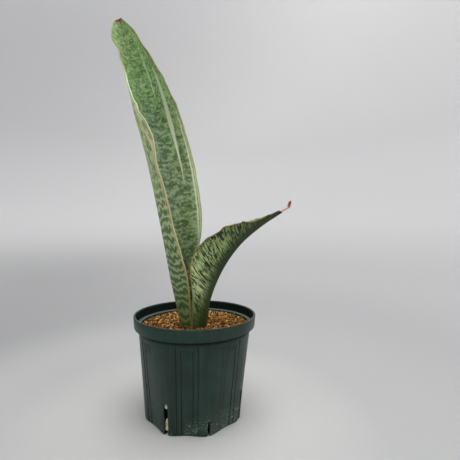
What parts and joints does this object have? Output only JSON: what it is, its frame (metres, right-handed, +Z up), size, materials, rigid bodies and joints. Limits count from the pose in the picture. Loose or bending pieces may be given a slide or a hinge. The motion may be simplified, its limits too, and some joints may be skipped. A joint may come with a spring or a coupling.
{
  "type": "potted snake plant",
  "caption": "Potted snake plant: a tall channelled mottled leaf and a short arching leaf with pale margins, in a round nursery pot with panelled sides and slits.",
  "frame": {"origin": "middle of the pot's base, on the surface it stands on", "axes": "+Z up along the pot's axis, -Y towards the front of the plant, +X to the side the short leaf arches to"},
  "size_m": [0.252, 0.1788, 0.5588],
  "materials": {
    "pot_plastic": "satin moulded plastic, dark green",
    "pumice": "dry porous grains, cream",
    "soil": "granular fired clay, orange brown",
    "rhizome": "fleshy underground stem, orange",
    "leaf_tall": "waxy leaf, mottled light and dark green with a cream margin",
    "leaf_short": "waxy leaf, dark green with pale diagonal streaks"
  },
  "bodies": {
    "root": {"pot": "pot_plastic", "pumice_layer": "pumice", "potting_soil": "soil", "rhizome": "rhizome", "leaf_tall": "leaf_tall", "leaf_short": "leaf_short"}
  },
  "joints": []
}
